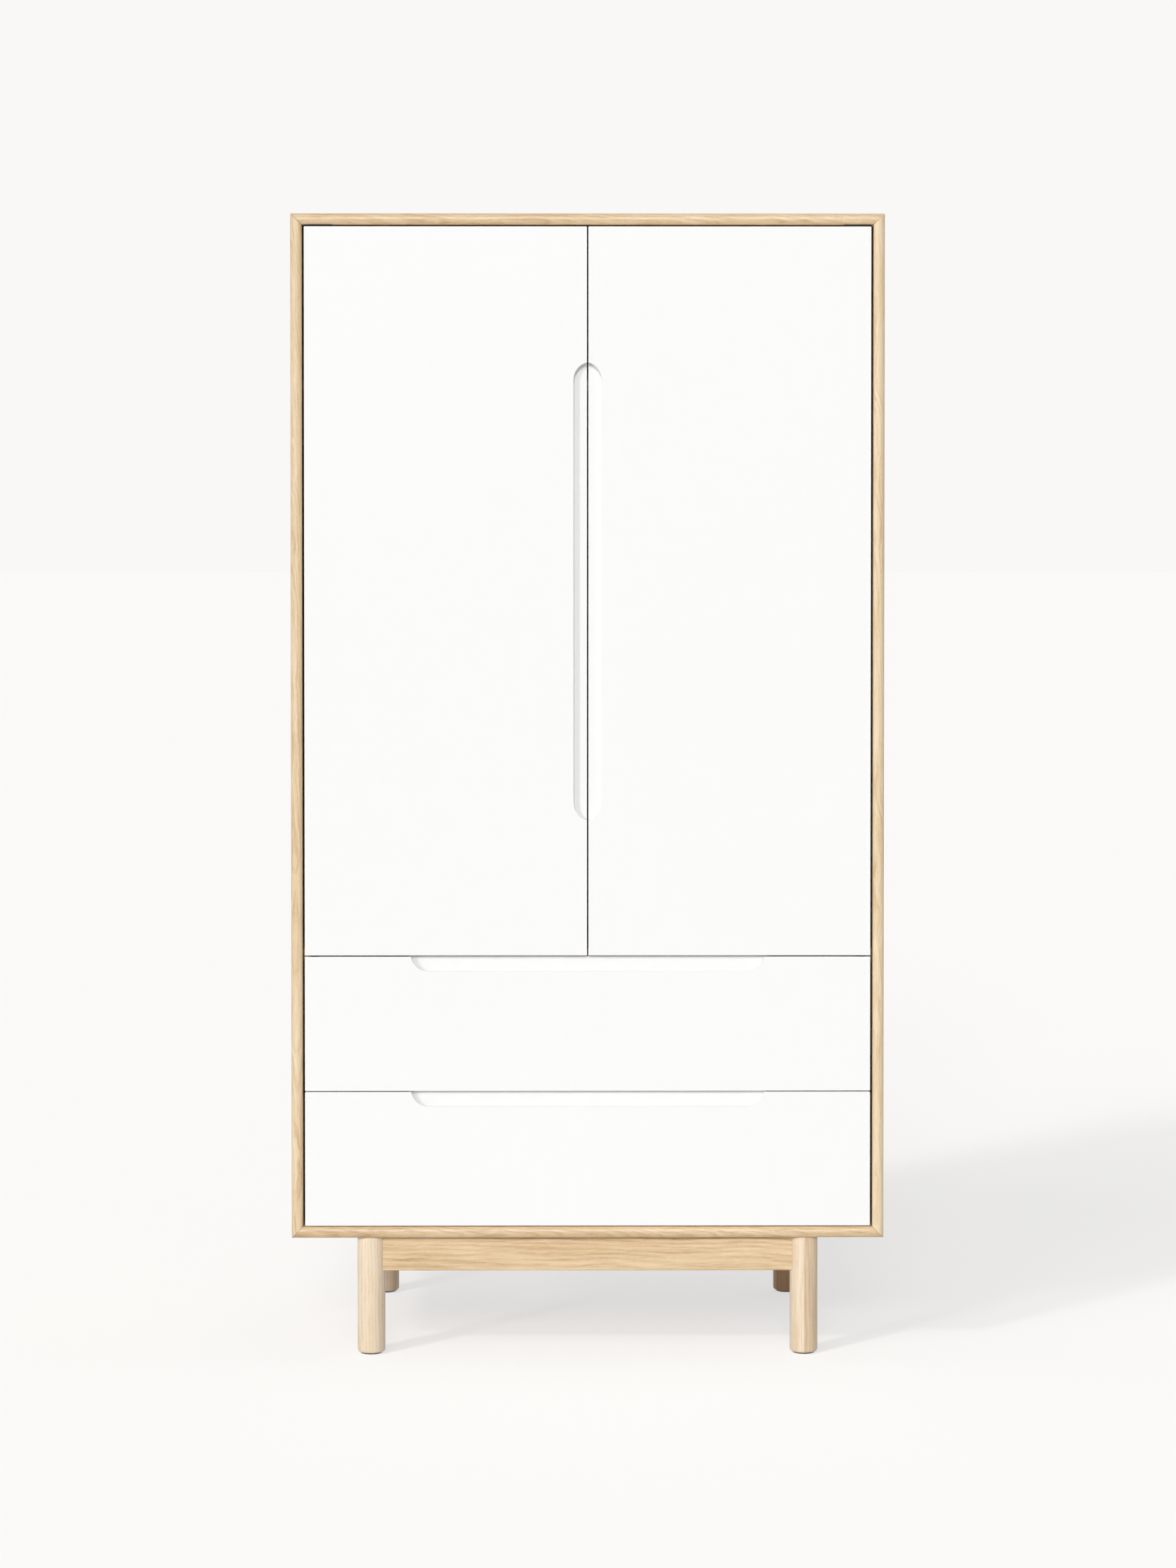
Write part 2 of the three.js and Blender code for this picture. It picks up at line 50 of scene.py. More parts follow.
class Shader:
    """A material's node tree, with a short way to add and link nodes."""

    def __init__(self, name):
        self.material = bpy.data.materials.new(name)
        self.material.use_nodes = True
        self.tree = self.material.node_tree
        self.surface = self.tree.nodes["Principled BSDF"]

    def node(self, kind, settings=None, **inputs):
        made = self.tree.nodes.new("ShaderNode" + kind)
        for key, value in (settings or {}).items():
            setattr(made, key, value)
        for key, value in inputs.items():
            self.feed(made, key.replace("_", " "), value)
        return made

    def feed(self, node, socket, value):
        """Links or sets an input, which is named or given as i and its number."""
        by_number = socket[0] == "i" and socket[1:].isdigit()
        target = node.inputs[int(socket[1:])] if by_number else node.inputs[socket]
        if isinstance(value, bpy.types.NodeSocket):
            self.tree.links.new(value, target)
        else:
            target.default_value = value

    def math(self, operation, a, b=0.0, clamp=False):
        made = self.node("Math", {"operation": operation, "use_clamp": clamp}, i0=a, i1=b)
        return made.outputs[0]

    def mix(self, factor, a, b, blend="MIX"):
        made = self.tree.nodes.new("ShaderNodeMix")
        made.data_type = "RGBA"
        made.blend_type = blend
        for index, value in ((0, factor), (6, a), (7, b)):
            if isinstance(value, bpy.types.NodeSocket):
                self.tree.links.new(value, made.inputs[index])
            else:
                made.inputs[index].default_value = value
        return made.outputs[2]

    def ramp(self, value, stops):
        made = self.node("ValToRGB", Fac=value)
        elements = made.color_ramp.elements
        while len(elements) < len(stops):
            elements.new(0.5)
        for element, (position, colour) in zip(elements, stops):
            element.position = position
            element.color = colour
        return made.outputs[0]

    def noise(self, vector, scale, detail=3.0, roughness=0.5, distortion=0.0):
        made = self.node(
            "TexNoise",
            Vector=vector, Scale=scale, Detail=detail, Roughness=roughness, Distortion=distortion,
        )
        return made.outputs[0]

    def place(self, location=(0, 0, 0)):
        """The piece's own coordinates, in metres, moved by a distance."""
        source = self.node("TexCoord").outputs["Object"]
        return self.node("Mapping", Vector=source, Location=location).outputs[0]

    def scaled(self, vector, scale):
        return self.node("Mapping", Vector=vector, Scale=scale).outputs[0]

    def bump(self, height, strength, distance):
        return self.node("Bump", Strength=strength, Distance=distance, Height=height).outputs[0]

    def finish(self, colour=None, roughness=None, normal=None):
        for socket, value in (("Base Color", colour), ("Roughness", roughness), ("Normal", normal)):
            if value is not None:
                self.feed(self.surface, socket, value)
        return self.material


def srgb(red, green, blue):
    """A linear colour from 0-255 display values."""
    def linear(value):
        value /= 255
        return value / 12.92 if value <= 0.04045 else ((value + 0.055) / 1.055) ** 2.4
    return (linear(red), linear(green), linear(blue), 1.0)


def level(value):
    return (value, value, value, 1.0)


# ------------------------------------------------------------------ wood

# How often each noise changes, per metre along the grain, across it and through the board
SIDEWAYS_STRAY = (4.5, 11, 11)
INWARD_STRAY = (5.5, 13, 13)
RIPPLES = (16, 120, 120)
RING_FADE = (7, 45, 45)
FINE_FIBRES = (34, 1150, 1150)
BROAD_FIBRES = (11, 260, 260)
CLOUDS = (4, 40, 40)
PORE_SLOTS = (110, 2600, 2600)

# How much each of them shifts the tone
RING_TONE = 0.55
BROAD_TONE = 0.95
FINE_TONE = 0.75
CLOUD_TONE = 0.80
STAVE_TONE = 0.14
BASE_TONE = 0.25
MIDDLE_TONE = 0.42

RIPPLE_REACH = 4 * MM
RING_PROFILE = ((0.0, 0.75), (0.10, 0.85), (0.34, 0.25), (0.6, 0.0), (1.0, 0.75))
PORE_START = 0.66
PORE_GAIN = 6.0
PORE_DEPTH = 0.32
GLUE_LINE = 0.6 * MM
GLUE_DEPTH = 0.5


def wood(
    name, axes, centre, seed, tones, stave=0.09, offset=0.0, ring=0.0055, reach=0.05, slope=0.08,
    gloss=0.31, contrast=1.0, wander=0.035, darker=(),
):
    """Boards glued edge to edge, each cut from its own log. Rings run round a pith that lies off the
    board and at a slope to it, so that every face shows the figure it would have: straight where the
    rings stand on edge, arched where they lie flat. axes names the directions along the grain, across
    the staves and through the thickness, centre is the middle of the piece, and tones are (pale,
    middle, dark, pore). stave, offset, ring, reach and wander are in metres: a stave's width, where
    the middle one starts, a ring's width, how far off the pith lies and how far the grain strays.
    darker lists a tone shift for each stave in turn, from the one before the middle."""
    shader = Shader(name)
    pale, middle, dark, pore = tones
    spot = shader.node("SeparateXYZ", Vector=shader.place(location=tuple(-value for value in centre)))
    along, across, through = (spot.outputs["XYZ".index(axis)] for axis in axes)

    # Which stave this is, and four numbers that are its own
    from_first = shader.math("SUBTRACT", across, offset)
    number = shader.math("FLOOR", shader.math("DIVIDE", from_first, stave))
    own_seed = shader.math("ADD", number, seed * 7.31)
    own = shader.node("TexWhiteNoise", {"noise_dimensions": "1D"}, W=own_seed)
    draw = shader.node("SeparateColor", Color=own.outputs["Color"])
    chance = [shader.math("SUBTRACT", draw.outputs[index], 0.5) for index in range(3)]
    shift = shader.math("MULTIPLY", own.outputs["Value"], 9.0)
    half_on = shader.math("ADD", number, 0.5)
    stave_middle = shader.math("ADD", shader.math("MULTIPLY", half_on, stave), offset)
    inside = shader.math("SUBTRACT", across, stave_middle)
    lengthwise = shader.math("ADD", along, shift)

    # The grain wanders a little from the straight, and rings and fibres wander together
    straight = shader.node("CombineXYZ", X=lengthwise, Y=inside, Z=through).outputs[0]
    sideways = shader.noise(shader.scaled(straight, SIDEWAYS_STRAY), 1.0, 3.0)
    inward = shader.noise(shader.scaled(straight, INWARD_STRAY), 1.3, 3.0)
    bent_y = shader.math("ADD", inside, shader.math("MULTIPLY", sideways, wander))
    bent_z = shader.math("ADD", through, shader.math("MULTIPLY", inward, wander))
    grain = shader.node("CombineXYZ", X=lengthwise, Y=bent_y, Z=bent_z).outputs[0]

    # Growth rings: distance from the pith
    slope_y = shader.math("MULTIPLY", chance[0], slope * 1.6)
    slope_z = shader.math("ADD", shader.math("MULTIPLY", chance[1], slope), slope)
    lean_y = shader.math("MULTIPLY", along, slope_y)
    lean_z = shader.math("MULTIPLY", along, slope_z)
    pith_y = shader.math("ADD", shader.math("MULTIPLY", chance[2], reach), reach * 0.5)
    pith_z = shader.math("ADD", shader.math("MULTIPLY", chance[0], reach * 0.8), reach)
    radial_y = shader.math("ADD", shader.math("ADD", bent_y, pith_y), lean_y)
    radial_z = shader.math("ADD", shader.math("ADD", bent_z, pith_z), lean_z)
    radial = shader.node("CombineXYZ", X=0.0, Y=radial_y, Z=radial_z).outputs[0]
    radius = shader.node("VectorMath", {"operation": "LENGTH"}, i0=radial).outputs["Value"]
    ripple = shader.noise(shader.scaled(grain, RIPPLES), 1.0, 3.0, 0.6)
    radius = shader.math("ADD", radius, shader.math("MULTIPLY", ripple, RIPPLE_REACH))
    turns = shader.math("DIVIDE", radius, ring)
    profile = [(position, level(value)) for position, value in RING_PROFILE]
    band = shader.ramp(shader.math("FRACT", turns), profile)

    # Rings differ in depth of colour from year to year and place to place
    year = shader.node("CombineXYZ", X=shader.math("MULTIPLY", turns, 0.41), Y=seed * 3.1).outputs[0]
    strength = shader.math("MULTIPLY", shader.noise(year, 1.0, 1.0), 1.5)
    fade = shader.noise(shader.scaled(grain, RING_FADE), 1.0, 2.0)
    strength = shader.math("MULTIPLY", strength, shader.math("ADD", fade, 0.2))
    band = shader.math("MULTIPLY", band, strength)

    # Fibres: long fine streaks, broader ones, and slow clouds
    fine = shader.noise(shader.scaled(grain, FINE_FIBRES), 1.0, 2.0, 0.6)
    broad = shader.noise(shader.scaled(grain, BROAD_FIBRES), 1.0, 3.0, 0.6)
    cloud = shader.noise(shader.scaled(grain, CLOUDS), 1.0, 2.0)

    # Pores: fine dark slots along the grain, crowded into the early wood of each ring
    slots = shader.noise(shader.scaled(grain, PORE_SLOTS), 1.0, 1.0, 0.4)
    pores = shader.math("ADD", slots, shader.math("MULTIPLY", band, 0.20))
    pores = shader.math("MULTIPLY", shader.math("SUBTRACT", pores, PORE_START), PORE_GAIN, clamp=True)

    tone = shader.math("MULTIPLY", band, RING_TONE * contrast)
    streaks = ((broad, BROAD_TONE * contrast), (fine, FINE_TONE), (cloud, CLOUD_TONE * contrast))
    for streak, weight in streaks:
        centred = shader.math("SUBTRACT", streak, 0.5)
        tone = shader.math("ADD", tone, shader.math("MULTIPLY", centred, weight))
    tone = shader.math("ADD", tone, shader.math("MULTIPLY", chance[1], STAVE_TONE))
    for index, change in enumerate(darker):
        here = shader.math("COMPARE", number, float(index) - 1.0)
        here.node.inputs[2].default_value = 0.1
        tone = shader.math("ADD", tone, shader.math("MULTIPLY", here, change))
    tone = shader.math("ADD", tone, BASE_TONE, clamp=True)
    colour = shader.ramp(tone, [(0.0, pale), (MIDDLE_TONE, middle), (1.0, dark)])
    colour = shader.mix(shader.math("MULTIPLY", pores, PORE_DEPTH), colour, pore)

    # The glue line between two staves: a hair of shade
    edge = shader.math("ABSOLUTE", shader.math("DIVIDE", inside, stave / 2))
    seam = shader.math("GREATER_THAN", edge, 1.0 - GLUE_LINE / stave)
    colour = shader.mix(shader.math("MULTIPLY", seam, GLUE_DEPTH), colour, pore)

    rough = shader.math("ADD", shader.math("MULTIPLY", fine, 0.10), gloss)
    rough = shader.math("ADD", rough, shader.math("MULTIPLY", pores, 0.15))
    relief = shader.math("SUBTRACT", shader.math("MULTIPLY", fine, 0.35), pores)
    normal = shader.bump(relief, 0.30, 0.15 * MM)
    shader.surface.inputs["Specular IOR Level"].default_value = 0.5
    return shader.finish(colour, rough, normal)


# Pale, middle, dark and pore
OAK = (srgb(239, 214, 177), srgb(223, 194, 153), srgb(182, 143, 101), srgb(142, 104, 70))
# Paler oak for the side panels: painted sheen, for the brighter look that upright grain has in light
# from the left
OAK_UPRIGHT_PAINTED_SHEEN = (srgb(242, 223, 191), srgb(232, 206, 167), srgb(197, 160, 117), srgb(154, 116, 80))
# Darker, redder oak for the rear right leg: painted shade, for the shadow it stands in under the
# carcass
OAK_PAINTED_SHADE = (srgb(214, 183, 142), srgb(196, 160, 118), srgb(160, 122, 84), srgb(120, 86, 58))
OAK_LEG = (srgb(246, 229, 206), srgb(238, 217, 188), srgb(211, 180, 143), srgb(172, 137, 104))
BIRCH = (srgb(243, 230, 204), srgb(234, 217, 186), srgb(214, 193, 158), srgb(196, 170, 134))


# ------------------------------------------------------------------ paint, metal and plastic

FRONT_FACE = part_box("door_left")[0][1]
# Painted shade on faces set back from the front, such as the pocket floors and the backs: how far back
# it starts, how far it takes to fade in, and how dark it leaves the white
PAINTED_SHADE_START = 7 * MM
PAINTED_SHADE_FADE = 4 * MM
PAINTED_SHADE_LEVEL = 0.968


def lacquer(name, colour):
    """Smooth sprayed satin lacquer: a faint flow texture and a barely warmer, thinner film at the
    edges,
    and painted shade: faces more than 7 mm behind the front, in the pockets and on the backs, are a
    little darker."""
    shader = Shader(name)
    spot = shader.place()
    flow = shader.noise(spot, 260.0, 2.0)
    cloud = shader.noise(spot, 3.0, 2.0)
    tint = tuple(channel * 0.985 for channel in colour[:3]) + (1.0,)
    base = shader.mix(cloud, colour, tint)
    edge = shader.node("NewGeometry").outputs["Pointiness"]
    wear = shader.ramp(edge, [(0.0, level(0)), (0.54, level(0)), (0.62, level(1)), (1.0, level(1))])
    worn = (colour[0] * 0.97, colour[1] * 0.96, colour[2] * 0.94, 1.0)
    base = shader.mix(shader.math("MULTIPLY", wear, 0.5), base, worn)
    # Painted shade: faces set back more than a few millimetres from the front, in the pockets and on
    # the backs, are made a little darker
    depth = shader.node("SeparateXYZ", Vector=spot).outputs["Y"]
    below = shader.math("SUBTRACT", depth, FRONT_FACE + PAINTED_SHADE_START)
    shade_amount = shader.math("DIVIDE", below, PAINTED_SHADE_FADE, clamp=True)
    shade_colour = tuple(channel * PAINTED_SHADE_LEVEL for channel in colour[:3]) + (1.0,)
    base = shader.mix(shade_amount, base, shade_colour)
    rough = shader.math("ADD", shader.math("MULTIPLY", cloud, 0.08), 0.36)
    normal = shader.bump(flow, 0.06, 0.0002)
    shader.surface.inputs["Specular IOR Level"].default_value = 0.4
    return shader.finish(base, rough, normal)


def metal(name, colour, roughness, grain=0.0, axis="Y"):
    """Metal with a drawn or plated surface: streaks along the axis and small stains."""
    shader = Shader(name)
    spot = shader.place()
    stretch = tuple(12 if letter == axis else 900 for letter in "XYZ")
    streaks = shader.noise(shader.scaled(spot, stretch), 1.0, 2.0)
    stains = shader.noise(spot, 45.0, 4.0, 0.6)
    darker = tuple(channel * 0.8 for channel in colour[:3]) + (1.0,)
    base = shader.mix(shader.math("MULTIPLY", stains, 0.5), colour, darker)
    rough = shader.math("ADD", shader.math("MULTIPLY", streaks, 0.12 + grain), roughness)
    normal = shader.bump(streaks, 0.1 + grain, 0.0001)
    shader.surface.inputs["Metallic"].default_value = 1.0
    return shader.finish(base, rough, normal)


def coated(name, colour, roughness, metallic=0.0):
    """Moulded plastic or powder coat: a fine stipple, with scuffed, paler edges."""
    shader = Shader(name)
    spot = shader.place()
    stipple = shader.noise(spot, 1600.0, 2.0)
    cloud = shader.noise(spot, 60.0, 2.0)
    edge = shader.node("NewGeometry").outputs["Pointiness"]
    scuff = shader.ramp(edge, [(0.0, level(0)), (0.53, level(0)), (0.62, level(1)), (1.0, level(1))])
    paler = tuple(min(1.0, channel * 1.6 + 0.03) for channel in colour[:3]) + (1.0,)
    base = shader.mix(shader.math("MULTIPLY", scuff, 0.35), colour, paler)
    darker = tuple(channel * 0.8 for channel in colour[:3]) + (1.0,)
    base = shader.mix(shader.math("MULTIPLY", cloud, 0.25), base, darker)
    rough = shader.math("ADD", shader.math("MULTIPLY", cloud, 0.15), roughness)
    normal = shader.bump(stipple, 0.2, 0.0001)
    shader.surface.inputs["Metallic"].default_value = metallic
    return shader.finish(base, rough, normal)


white = lacquer("white_lacquer_film", srgb(249, 249, 248))
zinc = metal("zinc_plate", (0.62, 0.63, 0.65, 1.0), 0.28, 0.1, "Y")
chrome = metal("chrome_plate", (0.78, 0.79, 0.80, 1.0), 0.2, 0.0, "X")
black_coat = coated("black_coat", srgb(19, 17, 16), 0.6)
black_steel = coated("black_zinc", srgb(44, 42, 42), 0.34, 0.5)
nylon = coated("nylon_natural", srgb(222, 219, 210), 0.4)
dark_plastic = coated("dark_plastic_moulded", srgb(46, 38, 33), 0.55)


# ------------------------------------------------------------------ finishes on the CAD pieces

def paint(name, material):
    nodes[name].material_slots[0].material = material


def soften_group():
    """Joins the corners of a CAD mesh, merges flat areas' normals and shades it smooth."""
    group = bpy.data.node_groups.new("join_and_smooth", "GeometryNodeTree")
    group.interface.new_socket("Geometry", in_out="INPUT", socket_type="NodeSocketGeometry")
    group.interface.new_socket("Geometry", in_out="OUTPUT", socket_type="NodeSocketGeometry")
    start = group.nodes.new("NodeGroupInput")
    end = group.nodes.new("NodeGroupOutput")
    bare = group.nodes.new("GeometryNodeRemoveAttribute")
    bare.inputs["Name"].default_value = "custom_normal"
    join = group.nodes.new("GeometryNodeMergeByDistance")
    join.inputs["Distance"].default_value = 0.00001
    edges = group.nodes.new("GeometryNodeSetShadeSmooth")
    edges.domain = "EDGE"
    faces = group.nodes.new("GeometryNodeSetShadeSmooth")
    chain = [start, bare, join, edges, faces, end]
    for before, after in zip(chain, chain[1:]):
        group.links.new(before.outputs[0], after.inputs[0])
    return group


SOFTEN = soften_group()
FLAT_WITHIN = 0.6
SHARP_OVER = 32
LEG_EDGE = 0.25 * MM
BOARD_EDGE = 0.5 * MM
FRONT_EDGE = 0.7 * MM
METAL_EDGE = 0.2 * MM
DRAWER_EDGE = 0.8 * MM


def soften(piece, width, segments=2):
    """Rounds the sharp edges of a piece by a small radius, and leaves its fine facets smooth."""
    joined = piece.modifiers.new("join", "NODES")
    joined.node_group = SOFTEN
    flat = piece.modifiers.new("flat", "DECIMATE")
    flat.decimate_type = "DISSOLVE"
    flat.angle_limit = math.radians(FLAT_WITHIN)
    bevel = piece.modifiers.new("edge", "BEVEL")
    bevel.width = width
    bevel.segments = segments
    bevel.limit_method = "ANGLE"
    bevel.angle_limit = math.radians(SHARP_OVER)
    bevel.harden_normals = True
    bevel.miter_outer = "MITER_ARC"
    return piece


# ------------------------------------------------------------------ small fittings

HEAD_SIDES = 20
HEAD_RIM = 0.45
HEAD_CROWN = 0.86
CROSS_REACH = 0.54
CROSS_HALF = 0.15
CROSS_FLOOR = 0.25
CORNER_STEPS = 4

# Each screw: (radius, height) of its head
PLATE_SCREW = (3.4 * MM, 0.45 * MM)
BRACKET_SCREW = (2.8 * MM, 1.0 * MM)
CATCH_SCREW = (3.0 * MM, 1.2 * MM)
STRIKE_SCREW = (2.8 * MM, 0.3 * MM)
BACK_SCREW = (3.2 * MM, 0.25 * MM)

PLATE_SHEET = 1.5 * MM
PLATE_SCREW_SPOTS = ((22 * MM, 3 * MM), (37 * MM, -3 * MM))
BRACKET_SCREW_HALF_PITCH = 6 * MM
BRACKET_SCREW_HEIGHT = 4.6 * MM

POLE_HALF = (15 * MM, 0.8 * MM)
POLE_SHEET = 0.25 * MM
POLE_INSET = 3.6 * MM
POLE_CORNER = 0.4 * MM
CATCH_SCREW_HALF_PITCH = 14 * MM

STRIKE_HALF_WIDTH = 18 * MM
STRIKE_HEIGHT = 10 * MM
STRIKE_SHEET = 1.2 * MM
STRIKE_BELOW_TOP = 2 * MM
STRIKE_CORNER = 2 * MM
STRIKE_SCREW_HALF_PITCH = 12 * MM

BACK_SCREW_INSET = 5 * MM
BACK_SCREW_PITCH = 240 * MM


def screw_head(shape, seat, out, head):
    """Adds a round screw head with a cross-shaped recess. seat is the middle of its underside and
    out is the way it points."""
    radius, height = head
    put = Matrix.Translation(seat) @ Vector(out).to_track_quat("Z", "Y").to_matrix().to_4x4()

    def ring(points, z):
        return [shape.verts.new(put @ Vector((x, y, z))) for x, y in points]

    def circle(size):
        turns = [math.tau * index / HEAD_SIDES for index in range(HEAD_SIDES)]
        return [(size * math.cos(turn), size * math.sin(turn)) for turn in turns]

    def wall(below, above):
        for index in range(len(below)):
            after = (index + 1) % len(below)
            shape.faces.new((below[index], below[after], above[after], above[index]))

    arm, half = radius * CROSS_REACH, radius * CROSS_HALF
    quarter = [(arm, -half), (arm, half), (half, half)]
    cross = []
    for _ in range(4):
        cross += quarter
        quarter = [(-y, x) for x, y in quarter]
    underside = ring(circle(radius), 0)
    rim = ring(circle(radius), height * HEAD_RIM)
    crown = ring(circle(radius * HEAD_CROWN), height)
    lip = ring(cross, height)
    pit = ring(cross, height * CROSS_FLOOR)
    wall(underside, rim)
    wall(rim, crown)
    wall(pit, lip)
    shape.faces.new(underside)
    shape.faces.new(pit)
    edges = [
        shape.edges.get((loop[index - 1], loop[index]))
        for loop in (crown, lip)
        for index in range(len(loop))
    ]
    bmesh.ops.triangle_fill(shape, edges=edges, use_beauty=True)


def plate(shape, low, high, corner):
    """Adds a flat plate that faces the back or front, with rounded corners."""
    outline = []
    left, right = low[0] + corner, high[0] - corner
    bottom, top = low[2] + corner, high[2] - corner
    for turn, (x, z) in enumerate(((right, top), (left, top), (left, bottom), (right, bottom))):
        for step in range(CORNER_STEPS + 1):
            angle = math.radians(90 * (turn + step / CORNER_STEPS))
            outline.append((x + corner * math.cos(angle), z + corner * math.sin(angle)))
    near = [shape.verts.new((x, low[1], z)) for x, z in outline]
    far = [shape.verts.new((x, high[1], z)) for x, z in outline]
    for index in range(len(outline)):
        after = (index + 1) % len(outline)
        shape.faces.new((near[index], near[after], far[after], far[index]))
    shape.faces.new(near)
    shape.faces.new(far)


def fitting(name, body, material, shape):
    """Makes one piece of the shape, which moves with the body."""
    bmesh.ops.recalc_face_normals(shape, faces=shape.faces)
    mesh = bpy.data.meshes.new(name)
    shape.to_mesh(mesh)
    shape.free()
    mesh.shade_smooth()
    mesh.set_sharp_from_angle(angle=math.radians(35))
    mesh.materials.append(material)
    made = bpy.data.objects.new(name, mesh)
    bpy.context.scene.collection.objects.link(made)
    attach(made, body)


def hinge_screws(label, side):
    """Two flat screws up through the top pivot plate, and two into the shelf's edge through the leaf
    of the bottom bracket."""
    low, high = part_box(f"pivot_plate_{label}")
    outer = low[0] if side < 0 else high[0]
    shape = bmesh.new()
    for along, aside in PLATE_SCREW_SPOTS:
        seat = (outer - side * along, (low[1] + high[1]) / 2 + aside, high[2] - PLATE_SHEET)
        screw_head(shape, seat, (0, 0, -1), PLATE_SCREW)
    fitting(f"pivot_plate_screws_{label}", "carcass", black_coat, shape)

    low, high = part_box(f"pivot_bracket_{label}")
    screw_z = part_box("fixed_shelf")[0][2] + BRACKET_SCREW_HEIGHT
    shape = bmesh.new()
    for aside in (-BRACKET_SCREW_HALF_PITCH, BRACKET_SCREW_HALF_PITCH):
        seat = ((low[0] + high[0]) / 2 + aside, high[1] - PLATE_SHEET, screw_z)
        screw_head(shape, seat, (0, -1, 0), BRACKET_SCREW)
    fitting(f"pivot_bracket_screws_{label}", "carcass", black_coat, shape)


def catch_fittings(label):
    """The catch's two steel poles and the screws that hold it up, and the strike on the door's back."""
    low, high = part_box(f"door_catch_{label}")
    middle = (low[0] + high[0]) / 2
    half_width, half_height = POLE_HALF
    shape = bmesh.new()
    for pole_z in (low[2] + POLE_INSET, high[2] - POLE_INSET):
        plate(
            shape,
            (middle - half_width, low[1] - POLE_SHEET, pole_z - half_height),
            (middle + half_width, low[1], pole_z + half_height),
            POLE_CORNER,
        )
    fitting(f"catch_poles_{label}", "carcass", zinc, shape)

    shape = bmesh.new()
    for aside in (-CATCH_SCREW_HALF_PITCH, CATCH_SCREW_HALF_PITCH):
        seat = (middle + aside, (low[1] + high[1]) / 2, low[2])
        screw_head(shape, seat, (0, 0, -1), CATCH_SCREW)
    fitting(f"catch_screws_{label}", "carcass", zinc, shape)

    door_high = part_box(f"door_{label}")[1]
    face = door_high[1]
    top = door_high[2] - STRIKE_BELOW_TOP
    shape = bmesh.new()
    plate(
        shape,
        (middle - STRIKE_HALF_WIDTH, face, top - STRIKE_HEIGHT),
        (middle + STRIKE_HALF_WIDTH, face + STRIKE_SHEET, top),
        STRIKE_CORNER,
    )
    for aside in (-STRIKE_SCREW_HALF_PITCH, STRIKE_SCREW_HALF_PITCH):
        seat = (middle + aside, face + STRIKE_SHEET, top - STRIKE_HEIGHT / 2)
        screw_head(shape, seat, (0, 1, 0), STRIKE_SCREW)
    fitting(f"door_strike_{label}", f"door_{label}_body", zinc, shape)


def back_screws():
    """Small flat screws round the edge of the back panel."""
    low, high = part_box("back_panel")
    face = high[1]
    left, right = low[0] + BACK_SCREW_INSET, high[0] - BACK_SCREW_INSET
    bottom, top = low[2] + BACK_SCREW_INSET, high[2] - BACK_SCREW_INSET
    shape = bmesh.new()
    across = round((right - left) / BACK_SCREW_PITCH)
    upward = round((top - bottom) / BACK_SCREW_PITCH)
    spots = []
    for index in range(across + 1):
        x = left + (right - left) * index / across
        spots += [(x, bottom), (x, top)]
    for index in range(1, upward):
        z = bottom + (top - bottom) * index / upward
        spots += [(left, z), (right, z)]
    for x, z in spots:
        screw_head(shape, (x, face, z), (0, 1, 0), BACK_SCREW)
    fitting("back_panel_screws", "carcass", zinc, shape)


def fit_out():
    for label, side in SIDES.items():
        hinge_screws(label, side)
        catch_fittings(label)
    back_screws()


# ------------------------------------------------------------------ camera, light and floor

PALE = srgb(249, 248, 246)
# Each sun: its strength, and in degrees how far left of the front, how far up and how wide it is
KEY_SUN = (0.88, 42, 15, 5)
SOFT_SUN = (1.39, 4, 26, 16)
PAPER_SUN = (1.0, 45, 36, 5)
WIDE_SUN = (1.0, 38, 43, 35)
SKY = 0.36
SKY_BEHIND = 0.45
SKY_RISE = (0.25, 1.0)
FLOOR_HALF = 120
PAPER_DROP = 0.5 * MM
UNDER_DROP = 1.0 * MM
UNDER_FLOOR = level(0.68)
FLOOR_DIFFUSE = (0.32, 0.305, 0.285)
FLOOR_LIGHT = 1.06


def sun(name, strength, azimuth, elevation, spread, only=None):
    """A light on everything, or on one object only."""
    data = bpy.data.lights.new(name, "SUN")
    data.energy = strength
    data.angle = math.radians(spread)
    made = bpy.data.objects.new(name, data)
    bpy.context.scene.collection.objects.link(made)
    made.rotation_euler = (math.radians(90 - elevation), 0, math.radians(-azimuth))
    if only is not None:
        lit = bpy.data.collections.new(name + "_lights")
        lit.objects.link(only)
        made.light_linking.receiver_collection = lit


def floor_sheet(name, z, colour, glow=None):
    mesh = bpy.data.meshes.new(name)
    shape = bmesh.new()
    bmesh.ops.create_grid(shape, x_segments=2, y_segments=2, size=FLOOR_HALF)
    shape.to_mesh(mesh)
    shape.free()
    sheet = bpy.data.objects.new(name, mesh)
    bpy.context.scene.collection.objects.link(sheet)
    sheet.location.z = z
    shader = Shader(name)
    shader.surface.inputs["Specular IOR Level"].default_value = 0.0
    if glow is not None:
        shader.surface.inputs["Emission Color"].default_value = glow
        shader.surface.inputs["Emission Strength"].default_value = 1.0
    fleck = shader.noise(shader.place(), 40.0, 2.0)
    mesh.materials.append(shader.finish(colour, 0.9, shader.bump(fleck, 0.02, 0.0005)))
    return sheet


